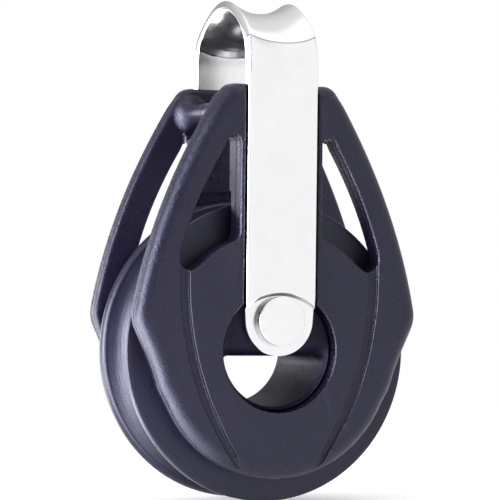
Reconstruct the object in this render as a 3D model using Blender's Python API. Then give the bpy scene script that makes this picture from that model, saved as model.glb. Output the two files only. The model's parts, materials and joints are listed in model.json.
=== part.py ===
"""Single sheave block: ball-bearing wheel with an open centre between two cheeks, hung from a bent strap.

Metres. +Z runs up from the wheel to the head eye, +Y is the wheel's axle, +X is to the right.
The origin is the inside top of the strap's loop, where a shackle bears.
"""

import math

import bmesh
import bpy
import numpy as np
from mathutils import Vector

MM = 0.001

# overall layout
EYE_TO_AXLE = 62.0
GAP = 0.3

# wheel
WHEEL_R = 28.5
WHEEL_HALF = 7.2
ROPE_FLOOR_R = 23.2
RIM_R = 0.25
LIP_IN = 5.85
BORE_R = 16.9
WHEEL_SEGMENTS = 48

# ball races
BALL_R = 1.98
BALL_PITCH_R = 15.4
BALL_ROW_Y = 3.4
RACE_R = 2.15
BALLS_PER_ROW = 20

# cheek: outer cover over an inner side plate
COVER_FACE = 13.3
COVER_BACK = 11.05
COVER_ROUND = 2.6
PLATE_OUT = 10.75
PLATE_IN = 9.0
STRAP_LAND = 11.2
LAND_HALF = 7.1

# hub
HUB_HOLE_R = 11.5
HUB_SPIGOT_R = 11.2
HUB_BORE_R = 10.5
HUB_RACE_R = 13.9
HUB_FLANGE_R = 16.2
HUB_FLANGE_IN = 7.55
HUB_FLANGE_OUT = 8.7
HUB_FACE = 11.2
BRIDGE_LOW = -1.0
BRIDGE_FACE_LOW = 2.3
BRIDGE_FILLET = 1.6

# strap
STRAP_OUT = 13.6
STRAP_IN = 11.5
STRAP_HALF = 7.15
STRAP_END_R = 6.9
STRAP_END_Z = 6.0
STRAP_EDGE = 0.4
PAD_FACE = 12.65
PAD_ARC_R = 11.2
PAD_ARC_Z = -0.25
PAD_SLOPE = 0.55
SLOT_HALF = 7.45

# pin
PIN_Z = 5.6
PIN_R = 2.5
PIN_HEAD_R = 4.65
PIN_HEAD_FACE = 14.2

# head posts
POST_X = 9.4
POST_Z = 45.0
POST_R = 1.8
POST_FLARE = 2.8

# cheek flank: half-width at a height, a + b z + c z^2
FLANK = (29.757, -0.1012, -0.005467)
FLANK_TOP = 46.4
FLANK_LOW = 8.4
SHOULDER_R = 6.5
SHOULDER_AT = (22.21, 6.80)
CHEEK_SHOULDER = [
    (27.15, 2.0),
    (25.95, -0.6),
    (24.95, -2.95),
    (24.2, -5.1),
    (23.45, -7.3),
]
CHEEK_LOW_R = 24.1
WINDOW_INNER_X = 8.45
# outer side of the window: x at a height, a + b z + c z^2
WINDOW_SIDE = (22.391, 0.0377, -0.00846)
WINDOW_TOP = 38.9
WINDOW_LOW = 18.4
WINDOW_LOW_R = 22.8
GROOVE_OUTER = [
    (20.3, 19.0),
    (20.3, 12.1),
    (20.1, 8.3),
    (19.7, 5.2),
    (19.1, 1.7),
    (18.3, -1.9),
    (17.1, -5.8),
    (15.8, -9.3),
    (14.3, -12.4),
    (12.5, -15.6),
    (10.3, -19.2),
    (7.6, -23.6),
]
GROOVE_INNER = [
    (18.5, 19.0),
    (18.5, 12.6),
    (18.3, 8.6),
    (17.9, 5.1),
    (17.35, 1.6),
    (16.6, -1.5),
    (15.6, -4.9),
    (14.2, -8.7),
    (12.6, -12.2),
    (10.7, -16.0),
    (8.8, -19.3),
    (6.1, -24.0),
]
GROOVE_DEPTH = 0.7

# strap loop: outer and inner curves, (distance out from the middle, height over the axle)
LOOP_FLOOR_OUT = [
    (13.6, 52.0),
    (13.6, 55.0),
    (13.58, 57.8),
    (12.0, 59.25),
    (9.6, 60.95),
    (6.6, 62.6),
    (3.35, 63.75),
    (0.0, 64.1),
]
LOOP_EDGE_OUT = [
    (13.6, 52.0),
    (13.5, 55.8),
    (12.65, 59.3),
    (11.6, 60.85),
    (9.6, 62.7),
    (6.5, 64.6),
    (3.3, 66.0),
    (0.0, 66.5),
]
LOOP_FLOOR_IN = [
    (11.5, 52.0),
    (11.5, 54.3),
    (11.3, 56.4),
    (10.2, 58.1),
    (8.2, 59.7),
    (5.6, 61.0),
    (2.8, 61.8),
    (0.0, 62.0),
]
LOOP_EDGE_IN = [
    (11.5, 52.0),
    (11.45, 54.9),
    (10.95, 57.9),
    (10.05, 59.7),
    (8.3, 61.6),
    (5.7, 63.4),
    (2.9, 64.6),
    (0.0, 65.0),
]
LOOP_HALF_OUT = 6.6
LOOP_HALF_IN = 7.3
LOOP_START = 52.0
LOOP_LENGTH = 20.0


def clear_scene():
    for obj in list(bpy.data.objects):
        bpy.data.objects.remove(obj, do_unlink=True)


def make_material(name, colour, metallic, roughness):
    mat = bpy.data.materials.new(name)
    mat.use_nodes = True
    shader = mat.node_tree.nodes["Principled BSDF"]
    shader.inputs["Base Color"].default_value = (*colour, 1.0)
    shader.inputs["Metallic"].default_value = metallic
    shader.inputs["Roughness"].default_value = roughness
    return mat


def add_object(name, mesh, parent, mat):
    obj = bpy.data.objects.new(name, mesh)
    bpy.context.scene.collection.objects.link(obj)
    obj.parent = parent
    if mat is not None:
        mesh.materials.clear()
        mesh.materials.append(mat)
    return obj


def add_empty(name, location, parent=None):
    empty = bpy.data.objects.new(name, None)
    empty.empty_display_size = 0.01
    empty.location = location
    empty.parent = parent
    bpy.context.scene.collection.objects.link(empty)
    return empty


def arc_points(cx, cz, r, a0, a1, n):
    """Points on an arc, angles in degrees, both ends included."""
    out = []
    for i in range(n + 1):
        a = math.radians(a0 + (a1 - a0) * i / n)
        out.append((cx + r * math.cos(a), cz + r * math.sin(a)))
    return out


def smooth_curve(points, steps):
    """Catmull-Rom curve through open points."""
    pts = [np.array(p, float) for p in points]
    ext = [2 * pts[0] - pts[1]] + pts + [2 * pts[-1] - pts[-2]]
    out = []
    for i in range(1, len(ext) - 2):
        p0, p1, p2, p3 = ext[i - 1], ext[i], ext[i + 1], ext[i + 2]
        for k in range(steps):
            t = k / steps
            q = 2 * p1 + (p2 - p0) * t
            q = q + (2 * p0 - 5 * p1 + 4 * p2 - p3) * t * t
            q = q + (3 * p1 - p0 - 3 * p2 + p3) * t * t * t
            out.append(tuple(q / 2))
    out.append(tuple(pts[-1]))
    return out


def mirror_loop(right):
    """Close a right-hand half outline, running top to bottom, with its mirror image."""
    left = [(-x, z) for x, z in reversed(right) if x > 1e-6]
    return right + left


def offset_loop(loop, inset):
    """Move every point of a closed outline inwards (positive inset) along its local normal."""
    pts = np.array(loop, float)
    along = np.roll(pts, -1, axis=0) - np.roll(pts, 1, axis=0)
    along /= np.linalg.norm(along, axis=1)[:, None]
    area = np.sum(pts[:, 0] * np.roll(pts[:, 1], -1) - np.roll(pts[:, 0], -1) * pts[:, 1])
    normal = np.stack([-along[:, 1], along[:, 0]], axis=1) * math.copysign(1.0, area)
    return [tuple(p) for p in pts + normal * inset]


def stack_rings(name, rings):
    """Closed solid through equal-length rings [(depth, loop)], deepest first; depth runs along -Y."""
    bm = bmesh.new()
    rows = []
    for depth, loop in rings:
        rows.append([bm.verts.new((x * MM, -depth * MM, z * MM)) for x, z in loop])
    for row in (rows[0], rows[-1]):
        bm.faces.new(row)
    for low, high in zip(rows, rows[1:]):
        edges = []
        for row in (low, high):
            for i, vert in enumerate(row):
                nxt = row[(i + 1) % len(row)]
                edge = bm.edges.get((vert, nxt)) or bm.edges.new((vert, nxt))
                edges.append(edge)
        bmesh.ops.bridge_loops(bm, edges=edges)
    bmesh.ops.recalc_face_normals(bm, faces=bm.faces)
    mesh = bpy.data.meshes.new(name)
    bm.to_mesh(mesh)
    bm.free()
    return mesh


def lathe(name, profile, segments, axis_closed=False):
    """Spin a profile [(radius, y)] about the Y axis."""
    bm = bmesh.new()
    verts = [bm.verts.new((r * MM, y * MM, 0.0)) for r, y in profile]
    edges = [bm.edges.new(pair) for pair in zip(verts, verts[1:])]
    if not axis_closed:
        edges.append(bm.edges.new((verts[-1], verts[0])))
    bmesh.ops.spin(
        bm,
        geom=verts + edges,
        cent=(0, 0, 0),
        axis=(0, 1, 0),
        angle=math.tau,
        steps=segments,
        use_merge=True,
        use_duplicate=False,
    )
    bmesh.ops.remove_doubles(bm, verts=bm.verts, dist=1e-7)
    bmesh.ops.recalc_face_normals(bm, faces=bm.faces)
    mesh = bpy.data.meshes.new(name)
    bm.to_mesh(mesh)
    bm.free()
    return mesh


def cutter(name, mesh, parent):
    obj = add_object(name, mesh, parent, None)
    obj.hide_render = True
    obj.display_type = "WIRE"
    return obj


def boolean(obj, tool, operation):
    mod = obj.modifiers.new(operation.title() + "_" + tool.name, "BOOLEAN")
    mod.operation = operation
    mod.solver = "EXACT"
    mod.object = tool


def shade(mesh, angle=32.0):
    mesh.set_sharp_from_angle(angle=math.radians(angle))


def cheek_outline():
    a, b, c = FLANK
    right = [(0.0, 50.0), (3.5, 50.0)]
    right += arc_points(9.1, 46.9, 3.1, 90, 30, 4)
    for k in range(11):
        z = FLANK_TOP + (FLANK_LOW - FLANK_TOP) * k / 10
        right.append((a + b * z + c * z * z, z))
    right += arc_points(*SHOULDER_AT, SHOULDER_R, 10.0, -24.8, 4)
    right += CHEEK_SHOULDER
    right += arc_points(0, 0, CHEEK_LOW_R, -24, -90, 9)
    return mirror_loop(right)


def window_outline():
    a, b, c = WINDOW_SIDE
    loop = arc_points(WINDOW_INNER_X + 1.3, 38.9, 1.3, 180, 30, 5)
    for k in range(7):
        z = WINDOW_TOP - 0.9 + (WINDOW_LOW - WINDOW_TOP + 0.9) * k / 6
        loop.append((a + b * z + c * z * z, z))
    loop += arc_points(18.35, 17.0, 2.0, 5, -115, 4)
    loop += arc_points(0, 0, WINDOW_LOW_R, 46, 59.5, 4)
    loop += arc_points(WINDOW_INNER_X + 2.5, 22.5, 2.5, 225, 180, 3)
    return loop


def keyhole_outline(top):
    """Hub hole opening upwards into the strap slot."""
    start = math.degrees(math.asin(SLOT_HALF / HUB_HOLE_R))
    right = arc_points(0, 0, HUB_HOLE_R, 90 - start, -90, 20)
    right = [(SLOT_HALF, top), (SLOT_HALF, top - 12), (SLOT_HALF, 22.0)] + right
    loop = right + [(-x, z) for x, z in reversed(right) if x > 1e-6]
    return loop


def dee_outline(radius, top, fillet):
    """Round hole with a flat top whose corners are filleted."""
    zc = top - fillet
    xc = math.sqrt((radius - fillet) ** 2 - zc**2)
    turn = math.degrees(math.atan2(zc, xc))
    right = [(0.0, top), (xc * 0.5, top)]
    right += arc_points(xc, zc, fillet, 90, turn, 4)
    right += arc_points(0, 0, radius, turn, -90, 12)[1:]
    return mirror_loop(right)


def cover_mesh():
    outline = cheek_outline()
    rings = [(COVER_BACK, offset_loop(outline, 0.0))]
    depth = COVER_FACE - COVER_BACK
    for k in range(1, 5):
        a = math.radians(90 * k / 4)
        inset = COVER_ROUND * (1 - math.cos(a))
        rings.append((COVER_BACK + depth * math.sin(a), offset_loop(outline, inset)))
    return stack_rings("cheek_cover", rings)


def build_cover(name, parent, mat, tools):
    obj = add_object(name, cover_mesh(), parent, mat)
    for tool in tools:
        boolean(obj, tool, "DIFFERENCE")
    shade(obj.data)
    return obj


def plate_mesh():
    outline = cheek_outline()
    rings = [
        (PLATE_IN, offset_loop(outline, 0.9)),
        (PLATE_IN + 0.25, offset_loop(outline, 0.3)),
        (PLATE_IN + 0.8, offset_loop(outline, 0.0)),
        (PLATE_OUT, offset_loop(outline, 0.0)),
    ]
    return stack_rings("side_plate", rings)


def box_mesh(name, x0, x1, d0, d1, z0, z1):
    loop = [(x0, z0), (x1, z0), (x1, z1), (x0, z1)]
    return stack_rings(name, [(d0, loop), (d1, loop)])


def post_mesh():
    """Half of a head post, flared where it grows out of the side plate."""
    profile = [(0.0, -GAP / 2), (POST_R - 0.1, -GAP / 2), (POST_R, -GAP / 2 - 0.1), (POST_R, -5.2)]
    for k in range(1, 4):
        a = math.radians(78 * k / 3)
        profile.append((POST_R + POST_FLARE * (1 - math.cos(a)), -5.2 - 3.9 * math.sin(a)))
    profile += [(profile[-1][0], -9.6), (0.0, -9.6)]
    return lathe("post", profile, 20, axis_closed=True)


def build_plate(name, parent, mat, adds, tools):
    obj = add_object(name, plate_mesh(), parent, mat)
    for tool in adds:
        boolean(obj, tool, "UNION")
    for tool in tools:
        boolean(obj, tool, "DIFFERENCE")
    shade(obj.data)
    return obj


def hub_mesh():
    groove = []
    for k in range(5):
        a = math.radians(-44.2 - 91.6 * k / 4)
        groove.append((BALL_PITCH_R + RACE_R * math.sin(a), -BALL_ROW_Y + RACE_R * math.cos(a)))
    profile = [(0.0, -GAP / 2), (HUB_RACE_R, -GAP / 2)]
    profile += groove
    profile += [
        (HUB_RACE_R, -HUB_FLANGE_IN),
        (HUB_FLANGE_R, -HUB_FLANGE_IN),
        (HUB_FLANGE_R, -HUB_FLANGE_OUT),
        (HUB_SPIGOT_R, -HUB_FLANGE_OUT),
        (HUB_SPIGOT_R, -HUB_FACE),
        (0.0, -HUB_FACE),
    ]
    return lathe("hub_half", profile, 44, axis_closed=True)


def hub_hole_mesh():
    """Cutter for the open centre: flat-topped bore whose top edge rolls up to the face."""
    rings = [(-1.0, dee_outline(HUB_BORE_R, BRIDGE_LOW, BRIDGE_FILLET))]
    reach = HUB_FACE - 7.9
    for k in range(5):
        a = math.radians(90 * k / 4)
        depth = 7.9 + reach * math.sin(a)
        top = BRIDGE_LOW + (BRIDGE_FACE_LOW - BRIDGE_LOW) * (1 - math.cos(a))
        radius = HUB_BORE_R + 0.4 * max(0.0, (depth - 10.4) / 0.8) ** 2
        rings.append((depth, dee_outline(radius, top, BRIDGE_FILLET)))
    rings.append((HUB_FACE + 1.0, rings[-1][1]))
    return stack_rings("hub_hole", rings)


def build_hub(name, parent, mat, tools):
    obj = add_object(name, hub_mesh(), parent, mat)
    for tool in tools:
        boolean(obj, tool, "DIFFERENCE")
    shade(obj.data)
    return obj


def wheel_profile():
    side = [
        (ROPE_FLOOR_R, 0.0),
        (23.5, 1.9),
        (24.4, 3.5),
        (25.8, 4.75),
        (27.1, 5.35),
        (27.7, 5.5),
        (27.8, 5.8),
        (28.25, LIP_IN),
        (WHEEL_R, LIP_IN + RIM_R),
        (WHEEL_R, WHEEL_HALF - RIM_R),
        (WHEEL_R - RIM_R, WHEEL_HALF),
        (BORE_R + 0.3, WHEEL_HALF),
        (BORE_R, WHEEL_HALF - 0.3),
    ]
    for k in range(5):
        a = math.radians(44.2 + 91.6 * k / 4)
        side.append((BALL_PITCH_R + RACE_R * math.sin(a), BALL_ROW_Y + RACE_R * math.cos(a)))
    back = [(r, -y) for r, y in reversed(side) if y > 1e-6]
    return side + back


def build_wheel(parent, mat):
    mesh = lathe("sheave", wheel_profile(), WHEEL_SEGMENTS)
    shade(mesh, 40.0)
    return add_object("sheave", mesh, parent, mat)


def curve_at(points, t):
    """Point on the Catmull-Rom curve through points, t from 0 to 1; the third point stays a crease."""
    n = len(points) - 1
    x = min(max(t, 0.0), 1.0) * n
    i = min(int(x), n - 1)
    f = x - i
    pts = [np.array(p, float) for p in points]
    p1, p2 = pts[i], pts[i + 1]
    p0 = pts[i - 1] if i > 0 else 2 * p1 - p2
    if i + 2 <= n:
        p3 = pts[i + 2]
    else:
        p3 = np.array((-pts[i][0], pts[i][1]))
    if i == 2:
        p0 = 2 * p1 - p2
    if i + 1 == 2:
        p3 = 2 * p2 - p1
    q = 2 * p1 + (p2 - p0) * f
    q = q + (2 * p0 - 5 * p1 + 4 * p2 - p3) * f * f
    q = q + (3 * p1 - p0 - 3 * p2 + p3) * f * f * f
    return q / 2


def bend_point(x, s, t):
    """Place a point of the flat blank: x across, s along from the axle height, t through (0 inner)."""
    total = LOOP_START + LOOP_LENGTH
    sign = -1.0 if s <= total else 1.0
    along = s if s <= total else 2 * total - s
    depth = STRAP_IN + (STRAP_OUT - STRAP_IN) * t
    if along <= LOOP_START:
        return (x, sign * depth, along)
    f = (along - LOOP_START) / LOOP_LENGTH
    u = abs(x) / STRAP_HALF
    bow = u**2.2
    outer = curve_at(LOOP_FLOOR_OUT, f) * (1 - bow) + curve_at(LOOP_EDGE_OUT, f) * bow
    inner = curve_at(LOOP_FLOOR_IN, f) * (1 - bow) + curve_at(LOOP_EDGE_IN, f) * bow
    yz = inner * (1 - t) + outer * t
    ease = min(1.0, f * 1.6)
    ease = ease * ease * (3 - 2 * ease)
    out_half = STRAP_HALF + (LOOP_HALF_OUT - STRAP_HALF) * ease
    in_half = STRAP_HALF + (LOOP_HALF_IN - STRAP_HALF) * ease
    width = in_half * (1 - t) + out_half * t
    return (x / STRAP_HALF * width, sign * yz[0], yz[1])


def strap_blank():
    """Flat blank of the strap, t as Y, s as Z, with rounded long edges."""
    total = 2 * (LOOP_START + LOOP_LENGTH)
    low = STRAP_END_Z
    high = total - STRAP_END_Z
    right = arc_points(0, low, STRAP_END_R, -90, -8, 9)
    right.append((STRAP_HALF, low + 4.0))
    right.append((STRAP_HALF, high - 4.0))
    right += arc_points(0, high, STRAP_END_R, 8, 90, 9)
    loop = right + [(-x, z) for x, z in reversed(right) if x > 1e-6]
    c = STRAP_EDGE
    thick = STRAP_OUT - STRAP_IN
    rings = [
        (0.0, offset_loop(loop, c)),
        (0.3 * c, offset_loop(loop, 0.3 * c)),
        (c, loop),
        (thick - c, loop),
        (thick - 0.3 * c, offset_loop(loop, 0.3 * c)),
        (thick, offset_loop(loop, c)),
    ]
    return stack_rings("strap", rings)


def hole_cutter(name, z):
    """Round hole through the strap's foot for the pin."""
    thick = STRAP_OUT - STRAP_IN
    r = PIN_R + GAP
    profile = [(0.0, 1.0), (r, 1.0), (r, -thick - 1.0), (0.0, -thick - 1.0)]
    obj = cutter(name, lathe(name, profile, 32, axis_closed=True), None)
    obj.location = (0, 0, z * MM)
    return obj


def pad_cutter(name, z):
    """Flat pad sunk into the foot, ending in a shallow sloped arc above the pin head."""
    thick = STRAP_OUT - STRAP_IN
    floor = -(PAD_FACE - STRAP_IN)
    profile = [
        (0.0, floor),
        (PAD_ARC_R - PAD_SLOPE, floor),
        (PAD_ARC_R, -thick),
        (PAD_ARC_R + PAD_SLOPE, -thick - 1.0),
        (0.0, -thick - 1.0),
    ]
    obj = cutter(name, lathe(name, profile, 64, axis_closed=True), None)
    obj.location = (0, 0, z * MM)
    return obj


def bake(obj):
    """Mesh of an object with its modifiers applied."""
    bpy.context.view_layer.update()
    graph = bpy.context.evaluated_depsgraph_get()
    mesh = bpy.data.meshes.new_from_object(obj.evaluated_get(graph))
    return mesh


def build_strap(parent, mat):
    blank = add_object("strap_blank", strap_blank(), None, None)
    total = 2 * (LOOP_START + LOOP_LENGTH)
    tools = [
        pad_cutter("pad_low", PAD_ARC_Z),
        pad_cutter("pad_high", total - PAD_ARC_Z),
        hole_cutter("hole_low", PIN_Z),
        hole_cutter("hole_high", total - PIN_Z),
    ]
    for tool in tools:
        boolean(blank, tool, "DIFFERENCE")
    mesh = bake(blank)
    mesh.name = "strap"
    for obj in [blank] + tools:
        bpy.data.objects.remove(obj, do_unlink=True)
    bm = bmesh.new()
    bm.from_mesh(mesh)
    cuts = []
    spans = 10
    for k in range(spans + 1):
        cuts.append(LOOP_START + LOOP_LENGTH * k / spans)
    cuts.append(LOOP_START + LOOP_LENGTH * 2 / 7)
    cuts += [total - c for c in cuts if c < total / 2 - 1e-6]
    for s in sorted(set(round(c, 6) for c in cuts)):
        geom = list(bm.verts) + list(bm.edges) + list(bm.faces)
        bmesh.ops.bisect_plane(bm, geom=geom, plane_co=(0, 0, s * MM), plane_no=(0, 0, 1), dist=1e-7)
    for x in (-5.4, -3.4, 0.0, 3.4, 5.4):
        inside = [v for v in bm.verts if LOOP_START - 1e-6 <= v.co.z / MM <= total - LOOP_START + 1e-6]
        keep = set(inside)
        faces = [f for f in bm.faces if all(v in keep for v in f.verts)]
        edges = list({e for f in faces for e in f.edges})
        verts = list({v for f in faces for v in f.verts})
        bmesh.ops.bisect_plane(
            bm, geom=verts + edges + faces, plane_co=(x * MM, 0, 0), plane_no=(1, 0, 0), dist=1e-7
        )
    thick = STRAP_OUT - STRAP_IN
    for vert in bm.verts:
        x, y, z = vert.co / MM
        vert.co = Vector(bend_point(x, z, -y / thick)) * MM
    bmesh.ops.recalc_face_normals(bm, faces=bm.faces)
    bm.to_mesh(mesh)
    bm.free()
    shade(mesh, 24.0)
    return add_object("strap", mesh, parent, mat)


def build_pin(parent, mat):
    face = PIN_HEAD_FACE
    seat = PAD_FACE + GAP
    half = [
        (0.0, face),
        (PIN_HEAD_R - 0.2, face),
        (PIN_HEAD_R - 0.06, face - 0.06),
        (PIN_HEAD_R, face - 0.2),
        (PIN_HEAD_R, seat),
        (PIN_R, seat),
    ]
    profile = half + [(r, -y) for r, y in reversed(half)]
    mesh = lathe("head_pin", profile, 32, axis_closed=True)
    shade(mesh)
    obj = add_object("head_pin", mesh, parent, mat)
    obj.location = (0, 0, PIN_Z * MM)
    return obj


def build_balls(parent, mat):
    bm = bmesh.new()
    bmesh.ops.create_icosphere(bm, subdivisions=2, radius=BALL_R * MM)
    mesh = bpy.data.meshes.new("ball")
    bm.to_mesh(mesh)
    bm.free()
    shade(mesh, 180.0)
    for row, side in (("front", -1), ("rear", 1)):
        carrier = add_empty(row + "_ball_row", (0, side * BALL_ROW_Y * MM, 0), parent)
        for i in range(BALLS_PER_ROW):
            turn = math.tau * (i + (0.5 if side > 0 else 0.0)) / BALLS_PER_ROW
            obj = add_object(f"{row}_ball_{i + 1:02d}", mesh, carrier, mat)
            obj.location = (
                BALL_PITCH_R * MM * math.cos(turn),
                0.0,
                BALL_PITCH_R * MM * math.sin(turn),
            )


def side_tools(parent, tag):
    """Cutters shared by one side's cover, plate and hub."""
    tools = {}
    window = window_outline()
    for label, mirror in (("right", 1), ("left", -1)):
        loop = [(mirror * x, z) for x, z in window]
        rings = [
            (5.0, offset_loop(loop, 0.0)),
            (COVER_FACE - 0.6, offset_loop(loop, 0.0)),
            (COVER_FACE - 0.18, offset_loop(loop, -0.17)),
            (COVER_FACE + 0.02, offset_loop(loop, -0.6)),
            (COVER_FACE + 1.0, offset_loop(loop, -0.6)),
        ]
        mesh = stack_rings(f"{tag}_window_{label}", rings)
        tools["window_" + label] = cutter(mesh.name, mesh, parent)
        outer = smooth_curve(GROOVE_OUTER, 1)
        inner = smooth_curve(GROOVE_INNER, 1)
        loop = [(mirror * x, z) for x, z in outer + list(reversed(inner))]
        rings = [(COVER_FACE - GROOVE_DEPTH, loop), (COVER_FACE + 1.0, loop)]
        mesh = stack_rings(f"{tag}_groove_{label}", rings)
        tools["groove_" + label] = cutter(mesh.name, mesh, parent)
    key = keyhole_outline(60.0)
    rings = [
        (5.0, key),
        (COVER_FACE - 0.35, key),
        (COVER_FACE + 0.02, offset_loop(key, -0.35)),
        (COVER_FACE + 1.0, offset_loop(key, -0.35)),
    ]
    mesh = stack_rings(f"{tag}_keyhole", rings)
    tools["keyhole"] = cutter(mesh.name, mesh, parent)
    loop = list(reversed(arc_points(0, 0, HUB_HOLE_R, 0, 360, 40)[:-1]))
    mesh = stack_rings(f"{tag}_hub_seat", [(5.0, loop), (15.0, loop)])
    tools["hub_seat"] = cutter(mesh.name, mesh, parent)
    tools["dee"] = cutter(f"{tag}_hub_hole", hub_hole_mesh(), parent)
    loop = list(reversed(arc_points(0, PIN_Z, PIN_R + GAP, 0, 360, 32)[:-1]))
    mesh = stack_rings(f"{tag}_pin_hole", [(-1.0, loop), (15.0, loop)])
    tools["pin_hole"] = cutter(mesh.name, mesh, parent)
    mesh = box_mesh(f"{tag}_strap_land", -LAND_HALF, LAND_HALF, PLATE_IN + 0.9, STRAP_LAND, 9.0, 46.5)
    tools["land"] = cutter(mesh.name, mesh, parent)
    mesh = box_mesh(f"{tag}_rib", -11.0, 11.0, 8.75, PLATE_IN + 0.5, 22.0, 41.5)
    tools["rib"] = cutter(mesh.name, mesh, parent)
    mesh = box_mesh(f"{tag}_rib_high", -11.0, 11.0, 7.9, PLATE_IN + 0.7, 30.0, 41.1)
    tools["rib_high"] = cutter(mesh.name, mesh, parent)
    post = post_mesh()
    for label, mirror in (("right", 1), ("left", -1)):
        tool = cutter(f"{tag}_post_{label}", post, parent)
        tool.location = (mirror * POST_X * MM, 0, POST_Z * MM)
        tools["post_" + label] = tool
    return tools


def build():
    clear_scene()
    black = (0.052, 0.050, 0.060)
    wheel_centre = add_empty("wheel_centre", (0, 0, -EYE_TO_AXLE * MM))
    spin = add_empty("wheel_spin", (0, 0, 0), wheel_centre)
    for tag, turn in (("front", 0.0), ("rear", math.pi)):
        side = add_empty(tag + "_side", (0, 0, 0), wheel_centre)
        side.rotation_euler = (0, 0, turn)
        t = side_tools(side, tag)
        cover_mat = make_material(tag + "_cover_nylon", black, 0.0, 0.42)
        plate_mat = make_material(tag + "_plate_nylon", black, 0.0, 0.45)
        hub_mat = make_material(tag + "_hub_nylon", black, 0.0, 0.40)
        cuts = ["window_right", "window_left", "groove_right", "groove_left", "keyhole"]
        build_cover(tag + "_cheek_cover", side, cover_mat, [t[c] for c in cuts])
        adds = ["land", "rib", "rib_high", "post_right", "post_left"]
        cuts = ["window_right", "window_left", "hub_seat"]
        plate_adds = [t[a] for a in adds]
        build_plate(tag + "_side_plate", side, plate_mat, plate_adds, [t[c] for c in cuts])
        build_hub(tag + "_hub_half", side, hub_mat, [t["dee"], t["pin_hole"]])
    build_wheel(spin, make_material("sheave_nylon", (0.050, 0.048, 0.058), 0.0, 0.34))
    steel = make_material("strap_steel", (0.80, 0.80, 0.80), 1.0, 0.24)
    build_strap(wheel_centre, steel)
    build_pin(wheel_centre, make_material("pin_steel", (0.78, 0.78, 0.79), 1.0, 0.20))
    build_balls(wheel_centre, make_material("ball_acetal", (0.86, 0.86, 0.83), 0.0, 0.28))


build()
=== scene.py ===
import json
import math

import bmesh
import bpy
import numpy as np
from mathutils import Matrix, Vector


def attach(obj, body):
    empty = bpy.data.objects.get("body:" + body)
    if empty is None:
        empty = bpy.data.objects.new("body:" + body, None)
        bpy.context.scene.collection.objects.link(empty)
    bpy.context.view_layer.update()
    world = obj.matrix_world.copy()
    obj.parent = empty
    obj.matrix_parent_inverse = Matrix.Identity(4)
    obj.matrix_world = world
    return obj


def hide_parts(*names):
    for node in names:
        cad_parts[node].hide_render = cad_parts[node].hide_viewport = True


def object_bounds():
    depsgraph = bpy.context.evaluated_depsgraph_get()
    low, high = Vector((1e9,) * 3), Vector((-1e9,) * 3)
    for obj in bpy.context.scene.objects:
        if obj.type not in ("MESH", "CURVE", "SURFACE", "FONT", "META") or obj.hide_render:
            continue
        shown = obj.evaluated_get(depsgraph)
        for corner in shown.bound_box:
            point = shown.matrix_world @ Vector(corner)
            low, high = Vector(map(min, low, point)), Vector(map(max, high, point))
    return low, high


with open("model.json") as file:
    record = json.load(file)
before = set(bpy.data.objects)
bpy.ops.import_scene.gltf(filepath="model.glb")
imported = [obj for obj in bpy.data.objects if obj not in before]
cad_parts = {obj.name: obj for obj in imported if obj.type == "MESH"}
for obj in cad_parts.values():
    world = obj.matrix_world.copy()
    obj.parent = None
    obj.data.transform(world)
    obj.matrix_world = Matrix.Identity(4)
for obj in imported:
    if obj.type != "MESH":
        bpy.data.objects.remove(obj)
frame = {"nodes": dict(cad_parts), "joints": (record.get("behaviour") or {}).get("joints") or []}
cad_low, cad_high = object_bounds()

MM = 0.001
AXLE = Vector(frame["joints"][0]["pos_m"])
GAP, SEAM = 0.3, 0.04

# sizes in mm, with the wheel's centre as zero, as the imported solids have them
ROPE_GROOVE = [(23.2, 0.0), (23.5, 1.9), (24.4, 3.5), (25.8, 4.75), (27.1, 5.35), (27.66, 5.48)]
WHEEL_R, WHEEL_HALF, WHEEL_BORE, LIP_IN = 28.5, 7.2, 16.9, 5.85
REAR_LIP = [(27.92, 5.62), (28.1, 5.8), (28.24, 6.0), (28.35, 6.2), (28.43, 6.4), (28.48, 6.6)]
FRONT_LIP = [(27.74, 5.54), (27.8, 5.64), (27.9, 5.74), (28.02, 5.8)]
BALL_PITCH, BALL_ROW, RACE_R = 15.4, 3.4, 2.15
COVER_FACE, COVER_BACK, COVER_ROUND = 13.3, 11.05, 2.6
PLATE_OUT, PLATE_IN, STRAP_LAND, LAND_HALF = 10.75, 9.0, 11.2, 7.1
HUB_HOLE, HUB_SPIGOT, HUB_BORE, HUB_RACE, HUB_FLANGE = 11.5, 11.2, 10.5, 13.9, 16.2
HUB_FLANGE_IN, HUB_FLANGE_OUT, HUB_FACE = 7.55, 8.7, 11.2
BRIDGE_LOW, BRIDGE_FACE_LOW, BRIDGE_FILLET = -1.0, 2.3, 1.6
STRAP_OUT, STRAP_IN, STRAP_HALF, STRAP_END_R, STRAP_EDGE = 13.6, 11.5, 7.15, 6.9, 0.4
STRAP_END_Z, PAD_FACE, PAD_ARC_R, PAD_ARC_Z, PAD_SLOPE = 6.0, 12.65, 11.2, -0.25, 0.55
SLOT_HALF = 7.45
PIN_Z, PIN_R, PIN_HEAD_R, PIN_FACE = 5.6, 2.5, 4.65, 14.2
POST_X, POST_Z, POST_R, POST_FLARE = 9.4, 45.0, 1.8, 2.8
FLANK, FLANK_TOP, FLANK_LOW = (29.757, -0.1012, -0.005467), 46.4, 8.4
SHOULDER_AT, SHOULDER_R = (22.21, 6.80), 6.5
CHEEK_SHOULDER = [(27.15, 2.0), (25.95, -0.6), (24.95, -2.95), (24.2, -5.1), (23.45, -7.3)]
CHEEK_LOW_R = 24.1
WINDOW_SIDE, WINDOW_TOP, WINDOW_LOW = (22.391, 0.0377, -0.00846), 38.9, 18.4
WINDOW_INNER_X, WINDOW_LOW_R = 8.45, 22.8
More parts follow.
